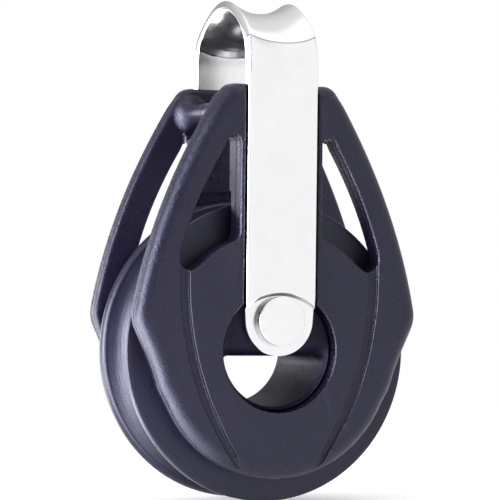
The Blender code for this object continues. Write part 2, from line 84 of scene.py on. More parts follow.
GROOVE_OUTER = [
    (20.3, 19.0), (20.3, 12.1), (20.1, 8.3), (19.7, 5.2), (19.1, 1.7), (18.3, -1.9),
    (17.1, -5.8), (15.8, -9.3), (14.3, -12.4), (12.5, -15.6), (10.3, -19.2), (7.6, -23.6),
]
GROOVE_INNER = [
    (18.5, 19.0), (18.5, 12.6), (18.3, 8.6), (17.9, 5.1), (17.35, 1.6), (16.6, -1.5),
    (15.6, -4.9), (14.2, -8.7), (12.6, -12.2), (10.7, -16.0), (8.8, -19.3), (6.1, -24.0),
]
GROOVE_DEPTH = 0.7
LOOP_START, LOOP_LENGTH = 52.0, 20.0
LOOP_FLOOR_OUT = [
    (13.6, 52.0), (13.6, 55.0), (13.58, 57.8), (12.0, 59.25),
    (9.6, 60.95), (6.6, 62.6), (3.35, 63.75), (0.0, 64.1),
]
LOOP_EDGE_OUT = [
    (13.6, 52.0), (13.5, 55.8), (12.65, 59.3), (11.6, 60.85),
    (9.6, 62.7), (6.5, 64.6), (3.3, 66.0), (0.0, 66.5),
]
LOOP_FLOOR_IN = [
    (11.5, 52.0), (11.5, 54.3), (11.3, 56.4), (10.2, 58.1),
    (8.2, 59.7), (5.6, 61.0), (2.8, 61.8), (0.0, 62.0),
]
LOOP_EDGE_IN = [
    (11.5, 52.0), (11.45, 54.9), (10.95, 57.9), (10.05, 59.7),
    (8.3, 61.6), (5.7, 63.4), (2.9, 64.6), (0.0, 65.0),
]
LOOP_HALF_OUT, LOOP_HALF_IN = 6.6, 7.3

# linear colours of the moulded parts, new and worn
CHEEK_BLACK, CHEEK_WORN = (0.0058, 0.0048, 0.0132), (0.030, 0.028, 0.042)
WHEEL_BLACK, WHEEL_WORN = (0.0080, 0.0072, 0.0165), (0.016, 0.015, 0.024)
HUB_BLACK = (0.0060, 0.0042, 0.0130)


# ---------- outlines ----------


def arc(cx, cz, r, a0, a1, n):
    angles = [math.radians(a0 + (a1 - a0) * i / n) for i in range(n + 1)]
    return [(cx + r * math.cos(a), cz + r * math.sin(a)) for a in angles]


def spline(points, steps):
    """Catmull-Rom curve through open points."""
    pts = [np.array(p, float) for p in points]
    ext = [2 * pts[0] - pts[1]] + pts + [2 * pts[-1] - pts[-2]]
    out = []
    for p0, p1, p2, p3 in zip(ext, ext[1:], ext[2:], ext[3:]):
        for k in range(steps):
            t = k / steps
            q = 2 * p1 + (p2 - p0) * t
            q = q + (2 * p0 - 5 * p1 + 4 * p2 - p3) * t * t
            q = q + (3 * p1 - p0 - 3 * p2 + p3) * t * t * t
            out.append(tuple(q / 2))
    out.append(tuple(pts[-1]))
    return out


def mirrored(right):
    return right + [(-x, z) for x, z in reversed(right) if x > 1e-6]


def inset(loop, amount):
    """Closed outline moved inwards along its local normal."""
    pts = np.array(loop, float)
    along = np.roll(pts, -1, axis=0) - np.roll(pts, 1, axis=0)
    along /= np.linalg.norm(along, axis=1)[:, None]
    area = np.sum(pts[:, 0] * np.roll(pts[:, 1], -1) - np.roll(pts[:, 0], -1) * pts[:, 1])
    normal = np.stack([-along[:, 1], along[:, 0]], axis=1) * math.copysign(1.0, area)
    return [tuple(p) for p in pts + normal * amount]


def parabola(coefficients, z):
    a, b, c = coefficients
    return a + b * z + c * z * z


def cheek_outline():
    right = [(0.0, 50.0), (3.5, 50.0), (7.5, 50.0)]
    right += arc(9.1, 46.9, 3.1, 90, 30, 10)
    heights = np.linspace(FLANK_TOP, FLANK_LOW, 34)
    right += [(parabola(FLANK, z), float(z)) for z in heights]
    shoulder = arc(*SHOULDER_AT, SHOULDER_R, 10.0, -24.8, 12)
    low = arc(0, 0, CHEEK_LOW_R, -24, -90, 40)
    joined = spline([shoulder[-2], shoulder[-1]] + CHEEK_SHOULDER + low[:2], 4)
    right += shoulder[:-1] + joined[4:-4] + low[1:]
    return mirrored(right)


def window_outline():
    loop = arc(WINDOW_INNER_X + 1.3, 38.9, 1.3, 180, 30, 12)
    heights = np.linspace(WINDOW_TOP - 0.9, WINDOW_LOW, 24)
    loop += [(parabola(WINDOW_SIDE, z), float(z)) for z in heights]
    loop += arc(18.35, 17.0, 2.0, 5, -115, 14)
    loop += arc(0, 0, WINDOW_LOW_R, 46, 59.5, 12)
    loop += arc(WINDOW_INNER_X + 2.5, 22.5, 2.5, 225, 180, 7)
    return loop


def keyhole_outline(top):
    start = math.degrees(math.asin(SLOT_HALF / HUB_HOLE))
    right = [(SLOT_HALF, top), (SLOT_HALF, top - 12), (SLOT_HALF, 22.0)]
    right += arc(0, 0, HUB_HOLE, 90 - start, -90, 56)
    return mirrored(right)


def dee_outline(radius, top, fillet):
    """Round bore with a flat top whose corners are filleted."""
    zc = top - fillet
    xc = math.sqrt((radius - fillet) ** 2 - zc**2)
    turn = math.degrees(math.atan2(zc, xc))
    right = [(0.0, top), (xc * 0.5, top)]
    right += arc(xc, zc, fillet, 90, turn, 10)
    right += arc(0, 0, radius, turn, -90, 44)[1:]
    return mirrored(right)


# ---------- solids ----------


def to_mesh(bm, name):
    bmesh.ops.recalc_face_normals(bm, faces=bm.faces)
    mesh = bpy.data.meshes.new(name)
    bm.to_mesh(mesh)
    bm.free()
    return mesh


def stack(name, rings):
    """Closed solid through equal-length rings [(depth, loop)]; depth runs along -Y."""
    bm = bmesh.new()
    rows = [[bm.verts.new((x * MM, -depth * MM, z * MM)) for x, z in loop] for depth, loop in rings]
    bm.faces.new(rows[0])
    bm.faces.new(rows[-1])
    count = len(rows[0])
    for low, high in zip(rows, rows[1:]):
        for i in range(count):
            j = (i + 1) % count
            bm.faces.new((low[i], low[j], high[j], high[i]))
    return to_mesh(bm, name)


def lathe(name, profile, segments, axis_closed=False):
    """Spin a profile [(radius, y)] about the Y axis."""
    bm = bmesh.new()
    verts = [bm.verts.new((r * MM, y * MM, 0.0)) for r, y in profile]
    edges = [bm.edges.new(pair) for pair in zip(verts, verts[1:])]
    if not axis_closed:
        edges.append(bm.edges.new((verts[-1], verts[0])))
    bmesh.ops.spin(
        bm, geom=verts + edges, cent=(0, 0, 0), axis=(0, 1, 0), angle=math.tau,
        steps=segments, use_merge=True, use_duplicate=False,
    )
    bmesh.ops.remove_doubles(bm, verts=bm.verts, dist=1e-7)
    return to_mesh(bm, name)


def new_object(name, mesh):
    obj = bpy.data.objects.new(name, mesh)
    bpy.context.scene.collection.objects.link(obj)
    return obj


def carve(name, mesh, adds=(), cuts=()):
    """Mesh joined with the adds and cut by the cuts, as one plain mesh."""
    obj = new_object(name, mesh)
    tools = []
    for operation, meshes in (("UNION", adds), ("DIFFERENCE", cuts)):
        for tool_mesh in meshes:
            tool = new_object("tool", tool_mesh)
            tools.append(tool)
            mod = obj.modifiers.new("Boolean", "BOOLEAN")
            mod.operation = operation
            mod.solver = "EXACT"
            mod.object = tool
    bpy.context.view_layer.update()
    graph = bpy.context.evaluated_depsgraph_get()
    result = bpy.data.meshes.new_from_object(obj.evaluated_get(graph))
    for item in [obj] + tools:
        bpy.data.objects.remove(item, do_unlink=True)
    bm = bmesh.new()
    bm.from_mesh(result)
    bmesh.ops.remove_doubles(bm, verts=bm.verts, dist=2e-6)
    bmesh.ops.dissolve_degenerate(bm, edges=bm.edges, dist=1e-6)
    bm.to_mesh(result)
    bm.free()
    return result


def moved(mesh, x=0.0, y=0.0, z=0.0):
    out = mesh.copy()
    out.transform(Matrix.Translation(Vector((x, y, z)) * MM))
    return out


def piece(name, mesh, mat, node, body, turn=0.0, sharp=30.0, lift=0.0):
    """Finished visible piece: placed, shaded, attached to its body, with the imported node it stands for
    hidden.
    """
    mesh = mesh.copy()
    mesh.name = name
    place = Matrix.Translation(AXLE + Vector((0, 0, lift * MM))) @ Matrix.Rotation(turn, 4, "Z")
    mesh.transform(place)
    mesh.materials.clear()
    mesh.materials.append(mat)
    mesh.polygons.foreach_set("use_smooth", [True] * len(mesh.polygons))
    mesh.set_sharp_from_angle(angle=math.radians(sharp))
    obj = new_object(name, mesh)
    weighted = obj.modifiers.new("Weighted", "WEIGHTED_NORMAL")
    weighted.keep_sharp = True
    weighted.weight = 80
    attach(obj, body)
    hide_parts(node)
    return obj


def window_tools(low_depth):
    lip = [(COVER_FACE - 0.62, 0.0)]
    for k in range(1, 7):
        a = math.radians(90 * k / 6)
        lip.append((COVER_FACE - 0.62 + 0.64 * math.sin(a), -0.62 * (1 - math.cos(a))))
    lip.append((COVER_FACE + 1.0, -0.62))
    tools = []
    for mirror in (1, -1):
        loop = [(mirror * x, z) for x, z in window_outline()]
        tools.append(stack("window", [(low_depth, loop)] + [(d, inset(loop, i)) for d, i in lip]))
    return tools


def channel_tools():
    """Shallow channel down each side of the face, with soft lips and a rounded floor edge."""
    floor = COVER_FACE - GROOVE_DEPTH
    steps = [(floor, 0.34), (floor + 0.04, 0.18), (floor + 0.14, 0.07), (floor + 0.3, 0.0)]
    steps += [(COVER_FACE - 0.30, 0.0), (COVER_FACE - 0.14, -0.05), (COVER_FACE - 0.05, -0.14)]
    steps += [(COVER_FACE + 0.01, -0.30), (COVER_FACE + 1.0, -0.32)]
    tools = []
    for mirror in (1, -1):
        outer = spline(GROOVE_OUTER, 5)
        inner = spline(GROOVE_INNER, 5)
        loop = [(mirror * x, z) for x, z in outer + list(reversed(inner))]
        tools.append(stack("channel", [(d, inset(loop, i)) for d, i in steps]))
    return tools


def cover_mesh():
    outline = cheek_outline()
    rings = [(COVER_BACK, inset(outline, 0.12)), (COVER_BACK + 0.1, outline)]
    depth = COVER_FACE - COVER_BACK - 0.1
    for k in range(1, 12):
        a = math.radians(90 * k / 11)
        height = COVER_BACK + 0.1 + depth * math.sin(a)
        rings.append((height, inset(outline, COVER_ROUND * (1 - math.cos(a)))))
    key = keyhole_outline(60.0)
    lip = [(5.0, 0.0), (COVER_FACE - 0.45, 0.0)]
    for k in range(1, 6):
        a = math.radians(90 * k / 5)
        lip.append((COVER_FACE - 0.45 + 0.47 * math.sin(a), -0.45 * (1 - math.cos(a))))
    lip.append((COVER_FACE + 1.0, -0.45))
    keyhole = stack("keyhole", [(d, inset(key, i)) for d, i in lip])
    return carve("cover", stack("cover", rings), cuts=window_tools(5.0) + channel_tools() + [keyhole])


def block(x0, x1, d0, d1, z0, z1, edge=0.25):
    """Box with its long depth edges and top softened."""
    loop = arc(x1 - edge, z1 - edge, edge, 90, 0, 4) + arc(x1 - edge, z0 + edge, edge, 0, -90, 4)
    loop += arc(x0 + edge, z0 + edge, edge, -90, -180, 4) + arc(x0 + edge, z1 - edge, edge, 180, 90, 4)
    return stack("block", [(d0, inset(loop, 0.2)), (d0 + 0.2, loop), (d1, loop)])


def post_mesh():
    """Half of a head post, flared where it grows out of the side plate."""
    profile = [(0.0, -SEAM / 2), (POST_R - 0.12, -SEAM / 2), (POST_R - 0.04, -SEAM / 2 - 0.03)]
    profile += [(POST_R, -SEAM / 2 - 0.12), (POST_R, -5.2)]
    for k in range(1, 11):
        a = math.radians(78 * k / 10)
        profile.append((POST_R + POST_FLARE * (1 - math.cos(a)), -5.2 - 3.9 * math.sin(a)))
    profile += [(profile[-1][0], -9.6), (0.0, -9.6)]
    return lathe("post", profile, 56, axis_closed=True)


def plate_mesh():
    outline = cheek_outline()
    rings = []
    for k in range(6):
        a = math.radians(90 * k / 5)
        rings.append((PLATE_IN + 0.8 * (1 - math.cos(a)), inset(outline, 0.9 * (1 - math.sin(a)))))
    rings += [(PLATE_OUT - 0.1, outline), (PLATE_OUT, inset(outline, 0.12))]
    seat = stack("seat", [(d, arc(0, 0, HUB_HOLE, 0, -357, 119)) for d in (5.0, 15.0)])
    adds = [
        block(-LAND_HALF, LAND_HALF, PLATE_IN + 0.9, STRAP_LAND, 9.0, 46.5),
        block(-11.0, 11.0, 8.75, PLATE_IN + 0.5, 22.0, 41.5),
        block(-11.0, 11.0, 7.9, PLATE_IN + 0.7, 30.0, 41.1),
        moved(post_mesh(), x=POST_X, z=POST_Z),
        moved(post_mesh(), x=-POST_X, z=POST_Z),
    ]
    return carve("plate", stack("plate", rings), adds=adds, cuts=window_tools(5.0) + [seat])


def race(row, start, sweep, steps):
    out = []
    for k in range(steps + 1):
        a = math.radians(start + sweep * k / steps)
        out.append((BALL_PITCH + RACE_R * math.sin(a), row + RACE_R * math.cos(a)))
    return out


def hub_mesh():
    profile = [(0.0, -SEAM / 2), (HUB_RACE - 0.15, -SEAM / 2), (HUB_RACE, -SEAM / 2 - 0.15)]
    profile += race(-BALL_ROW, -44.2, -91.6, 14)
    profile += [
        (HUB_RACE, -HUB_FLANGE_IN),
        (HUB_FLANGE - 0.2, -HUB_FLANGE_IN), (HUB_FLANGE, -HUB_FLANGE_IN - 0.2),
        (HUB_FLANGE, -HUB_FLANGE_OUT + 0.2), (HUB_FLANGE - 0.2, -HUB_FLANGE_OUT),
        (HUB_SPIGOT, -HUB_FLANGE_OUT),
        (HUB_SPIGOT, -HUB_FACE + 0.3), (HUB_SPIGOT - 0.1, -HUB_FACE + 0.08), (HUB_SPIGOT - 0.3, -HUB_FACE),
        (0.0, -HUB_FACE),
    ]
    rings = [(-1.0, dee_outline(HUB_BORE, BRIDGE_LOW, BRIDGE_FILLET))]
    reach = HUB_FACE - 7.9
    for k in range(13):
        a = math.radians(90 * k / 12)
        depth = 7.9 + reach * math.sin(a)
        top = BRIDGE_LOW + (BRIDGE_FACE_LOW - BRIDGE_LOW) * (1 - math.cos(a))
        radius = HUB_BORE + 0.4 * max(0.0, (depth - 10.4) / 0.8) ** 2
        rings.append((depth, dee_outline(radius, top, BRIDGE_FILLET)))
    rings.append((HUB_FACE + 1.0, rings[-1][1]))
    pin = stack("pin_hole", [(d, arc(0, PIN_Z, PIN_R + GAP, 0, -352.5, 47)) for d in (-1.0, 15.0)])
    return carve("hub", lathe("hub", profile, 144, axis_closed=True), cuts=[stack("bore", rings), pin])


def wheel_side(lip, stepped):
    """Half profile from the rope groove's floor over the rim to the ball race."""
    side = spline(ROPE_GROOVE, 5) + lip
    if stepped:
        side += arc_rim(WHEEL_R, LIP_IN + 0.33, 0.33, (-70, 0))
    side += arc_rim(WHEEL_R, WHEEL_HALF - 0.33, 0.33, (0, 90))
    side += [(27.2, WHEEL_HALF), (26.9, WHEEL_HALF - 0.12)]
    side += [(24.0, WHEEL_HALF - 0.16), (23.6, WHEEL_HALF)]
    side += [(WHEEL_BORE + 0.3, WHEEL_HALF), (WHEEL_BORE + 0.09, WHEEL_HALF - 0.09)]
    side += [(WHEEL_BORE, WHEEL_HALF - 0.3)]
    return side + race(BALL_ROW, 44.2, 91.6, 14)


def wheel_mesh():
    """The whole wheel: its rear rim is rounded and its front rim has a small inner step."""
    rear = wheel_side(REAR_LIP, False)
    front = wheel_side(FRONT_LIP, True)
    return lathe("wheel", rear + [(r, -y) for r, y in reversed(front) if y > 1e-6], 200)


def arc_rim(r, y, radius, sweep, steps=5):
    """Rounded corner of the rim, ending flush with the rim's radius."""
    out = []
    for k in range(steps + 1):
        a = math.radians(sweep[0] + (sweep[1] - sweep[0]) * k / steps)
        out.append((r - radius + radius * math.cos(a), y + radius * math.sin(a)))
    return out


def curve_at(points, t):
    """Point on the Catmull-Rom curve through points; the third point stays a crease."""
    n = len(points) - 1
    x = min(max(t, 0.0), 1.0) * n
    i = min(int(x), n - 1)
    f = x - i
    pts = [np.array(p, float) for p in points]
    p1, p2 = pts[i], pts[i + 1]
    p0 = pts[i - 1] if i > 0 else 2 * p1 - p2
    p3 = pts[i + 2] if i + 2 <= n else np.array((-pts[i][0], pts[i][1]))
    if i == 2:
        p0 = 2 * p1 - p2
    if i + 1 == 2:
        p3 = 2 * p2 - p1
    q = 2 * p1 + (p2 - p0) * f
    q = q + (2 * p0 - 5 * p1 + 4 * p2 - p3) * f * f
    q = q + (3 * p1 - p0 - 3 * p2 + p3) * f * f * f
    return q / 2


def bend_point(x, s, t):
    """Place a point of the flat blank: x across, s along from the axle height, t through (0 inner)."""
    total = LOOP_START + LOOP_LENGTH
    sign = -1.0 if s <= total else 1.0
    along = s if s <= total else 2 * total - s
    depth = STRAP_IN + (STRAP_OUT - STRAP_IN) * t
    if along <= LOOP_START:
        return (x, sign * depth, along)
    f = (along - LOOP_START) / LOOP_LENGTH
    bow = (abs(x) / STRAP_HALF) ** 2.2
    outer = curve_at(LOOP_FLOOR_OUT, f) * (1 - bow) + curve_at(LOOP_EDGE_OUT, f) * bow
    inner = curve_at(LOOP_FLOOR_IN, f) * (1 - bow) + curve_at(LOOP_EDGE_IN, f) * bow
    yz = inner * (1 - t) + outer * t
    ease = min(1.0, f * 1.6)
    ease = ease * ease * (3 - 2 * ease)
    out_half = STRAP_HALF + (LOOP_HALF_OUT - STRAP_HALF) * ease
    in_half = STRAP_HALF + (LOOP_HALF_IN - STRAP_HALF) * ease
    width = in_half * (1 - t) + out_half * t
    return (x / STRAP_HALF * width, sign * yz[0], yz[1])


def strap_mesh():
    total = 2 * (LOOP_START + LOOP_LENGTH)
    low, high = STRAP_END_Z, total - STRAP_END_Z
    right = arc(0, low, STRAP_END_R, -90, -8, 30)
    right += [(STRAP_HALF, low + 4.0), (STRAP_HALF, high - 4.0)]
    right += arc(0, high, STRAP_END_R, 8, 90, 30)
    loop = mirrored(right)
    c, thick = STRAP_EDGE, STRAP_OUT - STRAP_IN
    angles = np.radians([0, 30, 60, 90])
    rings = [(c * (1 - math.cos(a)), inset(loop, c * (1 - math.sin(a)))) for a in angles]
    rings += [(thick - d, ring) for d, ring in reversed(rings)]
    floor = STRAP_IN - PAD_FACE
    slope = [(PAD_ARC_R - PAD_SLOPE, floor), (PAD_ARC_R - PAD_SLOPE + 0.14, floor - 0.12)]
    slope += [(PAD_ARC_R - 0.12, -thick + 0.12), (PAD_ARC_R + 0.05, -thick)]
    slope += [(PAD_ARC_R + 0.3, -thick - 0.1)]
    pad = [(0.0, floor)] + slope + [(PAD_ARC_R + 0.3, -thick - 1.0), (0.0, -thick - 1.0)]
    hole = [(0.0, 1.0), (PIN_R + GAP, 1.0), (PIN_R + GAP, -thick - 1.0), (0.0, -thick - 1.0)]
    tools = []
    for pin_z, pad_z in ((PIN_Z, PAD_ARC_Z), (total - PIN_Z, total - PAD_ARC_Z)):
        tools.append(moved(lathe("pad", pad, 240, axis_closed=True), z=pad_z))
        tools.append(moved(lathe("hole", hole, 64, axis_closed=True), z=pin_z))
    mesh = carve("strap", stack("strap", rings), cuts=tools)
    bm = bmesh.new()
    bm.from_mesh(mesh)
    spans = 56
    cuts = {round(LOOP_START + LOOP_LENGTH * k / spans, 6) for k in range(spans + 1)}
    cuts |= {total - c for c in cuts}
    for s in sorted(cuts):
        geom = bm.verts[:] + bm.edges[:] + bm.faces[:]
        bmesh.ops.bisect_plane(bm, geom=geom, plane_co=(0, 0, s * MM), plane_no=(0, 0, 1), dist=1e-7)
    for x in np.linspace(-6.6, 6.6, 23):
        keep = {v for v in bm.verts if LOOP_START - 1e-4 <= v.co.z / MM <= total - LOOP_START + 1e-4}
        faces = [f for f in bm.faces if all(v in keep for v in f.verts)]
        edges = list({e for f in faces for e in f.edges})
        verts = list({v for f in faces for v in f.verts})
        bmesh.ops.bisect_plane(
            bm, geom=verts + edges + faces, plane_co=(x * MM, 0, 0), plane_no=(1, 0, 0), dist=1e-7
        )
    uv = bm.loops.layers.uv.new("strip")
    for face in bm.faces:
        for corner in face.loops:
            corner[uv].uv = (corner.vert.co.x / MM, corner.vert.co.z / MM)
    for vert in bm.verts:
        x, y, z = vert.co / MM
        vert.co = Vector(bend_point(x, z, -y / thick)) * MM
    return to_mesh(bm, "strap")


def pin_mesh():
    half = [(0.0, PIN_FACE), (PIN_HEAD_R - 0.16, PIN_FACE)]
    for k in range(1, 6):
        a = math.radians(90 * k / 5)
        half.append((PIN_HEAD_R - 0.16 + 0.16 * math.sin(a), PIN_FACE - 0.16 * (1 - math.cos(a))))
    half += [(PIN_HEAD_R, PAD_FACE + 0.08), (PIN_HEAD_R - 0.08, PAD_FACE + 0.03), (PIN_R, PAD_FACE + 0.03)]
    return lathe("pin", half + [(r, -y) for r, y in reversed(half)], 128, axis_closed=True)


# ---------- materials ----------


class Nodes:
    """Small helper that builds a node tree in mm-scaled object space."""

    def __init__(self, name):
        self.mat = bpy.data.materials.new(name)
        self.mat.use_nodes = True
        self.tree = self.mat.node_tree
        self.shader = self.tree.nodes["Principled BSDF"]
        self.coord = self.tree.nodes.new("ShaderNodeTexCoord")

    def add(self, kind, **values):
        node = self.tree.nodes.new(kind)
        for key, value in values.items():
            setattr(node, key, value)
        return node

    def link(self, a, b):
        self.tree.links.new(a, b)

    def mapped(self, scale, source=None):
        node = self.add("ShaderNodeMapping")
        node.inputs["Scale"].default_value = scale
        self.link(source or self.coord.outputs["Object"], node.inputs["Vector"])
        return node.outputs["Vector"]

    def noise(self, vector, scale, detail=3.0, rough=0.5):
        node = self.add("ShaderNodeTexNoise")
        node.inputs["Scale"].default_value = scale
        node.inputs["Detail"].default_value = detail
        node.inputs["Roughness"].default_value = rough
        self.link(vector, node.inputs["Vector"])
        return node.outputs["Fac"]

    def ramp(self, fac, low, high, out_low, out_high):
        node = self.add("ShaderNodeMapRange", clamp=True)
        for key, value in zip(("From Min", "From Max", "To Min", "To Max"), (low, high, out_low, out_high)):
            node.inputs[key].default_value = value
        self.link(fac, node.inputs["Value"])
        return node.outputs["Result"]

    def math(self, operation, a, b):
        node = self.add("ShaderNodeMath", operation=operation)
        for socket, value in zip(node.inputs, (a, b)):
            if isinstance(value, (int, float)):
                socket.default_value = value
            else:
                self.link(value, socket)
        return node.outputs["Value"]

    def painted_crease_shade(self, strip):
        """Mask of painted shade: 1 on the plain strip, 0 along the loop's crease and the foot pad's step,
        where the strip is painted darker.
        """
        split = self.add("ShaderNodeSeparateXYZ")
        self.link(strip, split.inputs["Vector"])
        top = LOOP_START + LOOP_LENGTH
        away = self.math("ABSOLUTE", self.math("SUBTRACT", split.outputs["Y"], top), 0.0)
        fold = self.math("ABSOLUTE", self.math("SUBTRACT", away, LOOP_LENGTH * 5 / 7), 0.0)
        height = self.math("SUBTRACT", top - PAD_ARC_Z, away)
        across = self.math("POWER", split.outputs["X"], 2.0)
        squares = self.math("ADD", self.math("POWER", height, 2.0), across)
        ring = self.math("SUBTRACT", self.math("SQRT", squares, 0.0), PAD_ARC_R - PAD_SLOPE / 2)
        # painted shade round the foot pad's recessed step
        pad_step_shade = self.ramp(self.math("ABSOLUTE", ring, 0.0), 0.14, 0.32, 0.55, 1.0)
        return self.math("MINIMUM", self.ramp(fold, 0.05, 0.22, 0.2, 1.0), pad_step_shade)

    def mix(self, fac, a, b):
        node = self.add("ShaderNodeMix", data_type="RGBA")
        self.link(fac, node.inputs["Factor"])
        node.inputs["A"].default_value = (*a, 1.0)
        if isinstance(b, tuple):
            node.inputs["B"].default_value = (*b, 1.0)
        else:
            self.link(b, node.inputs["B"])
        return node.outputs["Result"]

    def bump(self, height, strength, distance, normal=None):
        node = self.add("ShaderNodeBump")
        node.inputs["Strength"].default_value = strength
        node.inputs["Distance"].default_value = distance
        self.link(height, node.inputs["Height"])
        if normal is not None:
            self.link(normal, node.inputs["Normal"])
        return node.outputs["Normal"]


def nylon(name, base, worn, rough, grain=1.0, rings=False, shine=0.5):
    """Moulded filled nylon: spark-eroded grain, faint flow mottling, polished and paler edges."""
    n = Nodes(name)
    space = n.mapped((1000.0, 1000.0, 1000.0))
    fine = n.noise(space, 2.9, 4.0, 0.62)
    flow = n.noise(space, 0.11, 3.0, 0.55)
    geometry = n.add("ShaderNodeNewGeometry")
    edge = n.ramp(geometry.outputs["Pointiness"], 0.53, 0.62, 0.0, 1.0)
    patchy = n.math("MULTIPLY", edge, n.ramp(n.noise(space, 0.9, 4.0, 0.6), 0.35, 0.7, 0.10, 0.32))
    darker = tuple(c * 0.84 for c in base)
    lighter = tuple(c * 1.14 for c in base)
    body = n.mix(n.ramp(flow, 0.3, 0.7, 0.0, 1.0), darker, lighter)
    speck = n.add("ShaderNodeMix", data_type="RGBA", blend_type="MULTIPLY")
    speck.inputs["Factor"].default_value = 1.0
    n.link(body, speck.inputs["A"])
    tone = n.add("ShaderNodeCombineColor")
    value = n.ramp(fine, 0.3, 0.7, 0.86, 1.16)
    for socket in tone.inputs[:3]:
        n.link(value, socket)
    n.link(tone.outputs["Color"], speck.inputs["B"])
    wear = n.add("ShaderNodeMix", data_type="RGBA")
    n.link(patchy, wear.inputs["Factor"])
    n.link(speck.outputs["Result"], wear.inputs["A"])
    wear.inputs["B"].default_value = (*worn, 1.0)
    n.link(wear.outputs["Result"], n.shader.inputs["Base Color"])
    roughness = n.ramp(n.noise(space, 0.45, 4.0, 0.6), 0.3, 0.7, rough - 0.04, rough + 0.05)
    n.link(n.math("SUBTRACT", roughness, n.math("MULTIPLY", patchy, 0.05)), n.shader.inputs["Roughness"])
    normal = n.bump(fine, 0.60 * grain, 0.00018)
    if rings:
        lines = n.add("ShaderNodeTexWave", wave_type="RINGS", rings_direction="Y")
        lines.inputs["Scale"].default_value = 0.55
        lines.inputs["Distortion"].default_value = 0.25
        lines.inputs["Detail"].default_value = 2.0
        shifted = n.add("ShaderNodeMapping")
        shifted.inputs["Location"].default_value = tuple(-c for c in AXLE)
        n.link(n.coord.outputs["Object"], shifted.inputs["Vector"])
        n.link(n.mapped((1000.0, 1000.0, 1000.0), shifted.outputs["Vector"]), lines.inputs["Vector"])
        normal = n.bump(lines.outputs["Fac"], 0.10, 0.00004, normal)
    n.link(normal, n.shader.inputs["Normal"])
    n.shader.inputs["IOR"].default_value = 1.5
    n.shader.inputs["Specular IOR Level"].default_value = shine
    n.shader.inputs["Specular Tint"].default_value = (0.78, 0.79, 1.0, 1.0)
    return n.mat


def steel(name, rough, streak, use_strip):
    """Stainless strip: satin polish with fine streaks along its length, faint mottling and hairlines, plus
    painted shade: darker along the strip's loop crease and pad step, and on the pin head's side wall.
    """
    n = Nodes(name)
    if use_strip:
        uv = n.add("ShaderNodeUVMap", uv_map="strip")
        source, along, fine_space = uv.outputs["UV"], (9.0, 0.16, 1.0), (1.0, 1.0, 1.0)
    else:
        source, along, fine_space = None, (6000.0, 900.0, 6000.0), (1000.0, 1000.0, 1000.0)
    streaks = n.noise(n.mapped(along, source), 1.0, 4.0, 0.6)
    cloud = n.noise(n.mapped(fine_space, source), 0.16, 3.0, 0.55)
    grain = n.noise(n.mapped(fine_space, source), 5.0, 3.0, 0.6)
    tone = n.mix(n.ramp(cloud, 0.3, 0.7, 0.0, 1.0), (0.79, 0.788, 0.785), (0.82, 0.82, 0.82))
    if use_strip:
        # painted shade: the strip is darkened along the loop's crease and round the foot pad's step
        tone = n.mix(n.painted_crease_shade(source), (0.20, 0.20, 0.21), tone)
    else:
        # painted shade: the pin's side walls, facing away from its axis, are painted darker, standing in
        # for the shadow where the head meets the pad
        facing = n.add("ShaderNodeSeparateXYZ")
        n.link(n.coord.outputs["Normal"], facing.inputs["Vector"])
        unshaded_face = n.ramp(n.math("ABSOLUTE", facing.outputs["Y"], 0.0), 0.15, 0.60, 0.0, 1.0)
        tone = n.mix(unshaded_face, (0.40, 0.40, 0.41), tone)
    n.link(tone, n.shader.inputs["Base Color"])
    brushed = n.ramp(streaks, 0.3, 0.7, rough - 0.05, rough + 0.05)
    roughness = n.math("ADD", brushed, n.ramp(grain, 0.3, 0.7, -0.03, 0.03))
    n.link(roughness, n.shader.inputs["Roughness"])
    normal = n.bump(streaks, 0.10 * streak, 0.00003)
    normal = n.bump(grain, 0.12, 0.00002, normal)
    n.link(normal, n.shader.inputs["Normal"])
    n.shader.inputs["Metallic"].default_value = 1.0
    return n.mat


def acetal(name):
    n = Nodes(name)
    space = n.mapped((1000.0, 1000.0, 1000.0))
    tone = n.mix(n.noise(space, 0.8, 3.0, 0.5), (0.80, 0.80, 0.76), (0.88, 0.88, 0.85))
    n.link(tone, n.shader.inputs["Base Color"])
    n.link(n.ramp(n.noise(space, 3.0, 3.0, 0.5), 0.3, 0.7, 0.22, 0.34), n.shader.inputs["Roughness"])
    n.link(n.bump(n.noise(space, 6.0, 2.0, 0.5), 0.05, 0.00002), n.shader.inputs["Normal"])
    n.shader.inputs["Subsurface Weight"].default_value = 0.1
    n.shader.inputs["Subsurface Scale"].default_value = 0.001
    return n.mat


# ---------- the block ----------


def build_block():
    cover_mat = nylon("cover_nylon", CHEEK_BLACK, CHEEK_WORN, 0.28)
    plate_mat = nylon("plate_nylon", CHEEK_BLACK, CHEEK_WORN, 0.29)
    hub_mat = nylon("hub_nylon", HUB_BLACK, CHEEK_WORN, 0.42, grain=1.2, shine=0.2)
    wheel_mat = nylon("sheave_nylon", WHEEL_BLACK, WHEEL_WORN, 0.31, grain=0.6, rings=True)
    strap_mat = steel("strap_steel", 0.20, 1.0, True)
    pin_mat = steel("pin_steel", 0.20, 0.5, False)
    cover, plate, hub = cover_mesh(), plate_mesh(), hub_mesh()
    for side, turn in (("front", 0.0), ("rear", math.pi)):
        piece(side + "_cover_skin", cover, cover_mat, side + "_cheek_cover", "frame", turn)
        piece(side + "_plate_body", plate, plate_mat, side + "_side_plate", "frame", turn)
        piece(side + "_hub_body", hub, hub_mat, side + "_hub_half", "frame", turn)
    piece("wheel_body", wheel_mesh(), wheel_mat, "sheave", "sheave", sharp=50.0)
    piece("strap_body", strap_mesh(), strap_mat, "strap", "frame", sharp=24.0)
    piece("pin_body", pin_mesh(), pin_mat, "head_pin", "frame", lift=PIN_Z)
    ball_mat = acetal("ball_acetal")
    for name, node in frame["nodes"].items():
        if "_ball_" in name:
            for item in node.material_slots:
                item.material = ball_mat


# ---------- stage ----------


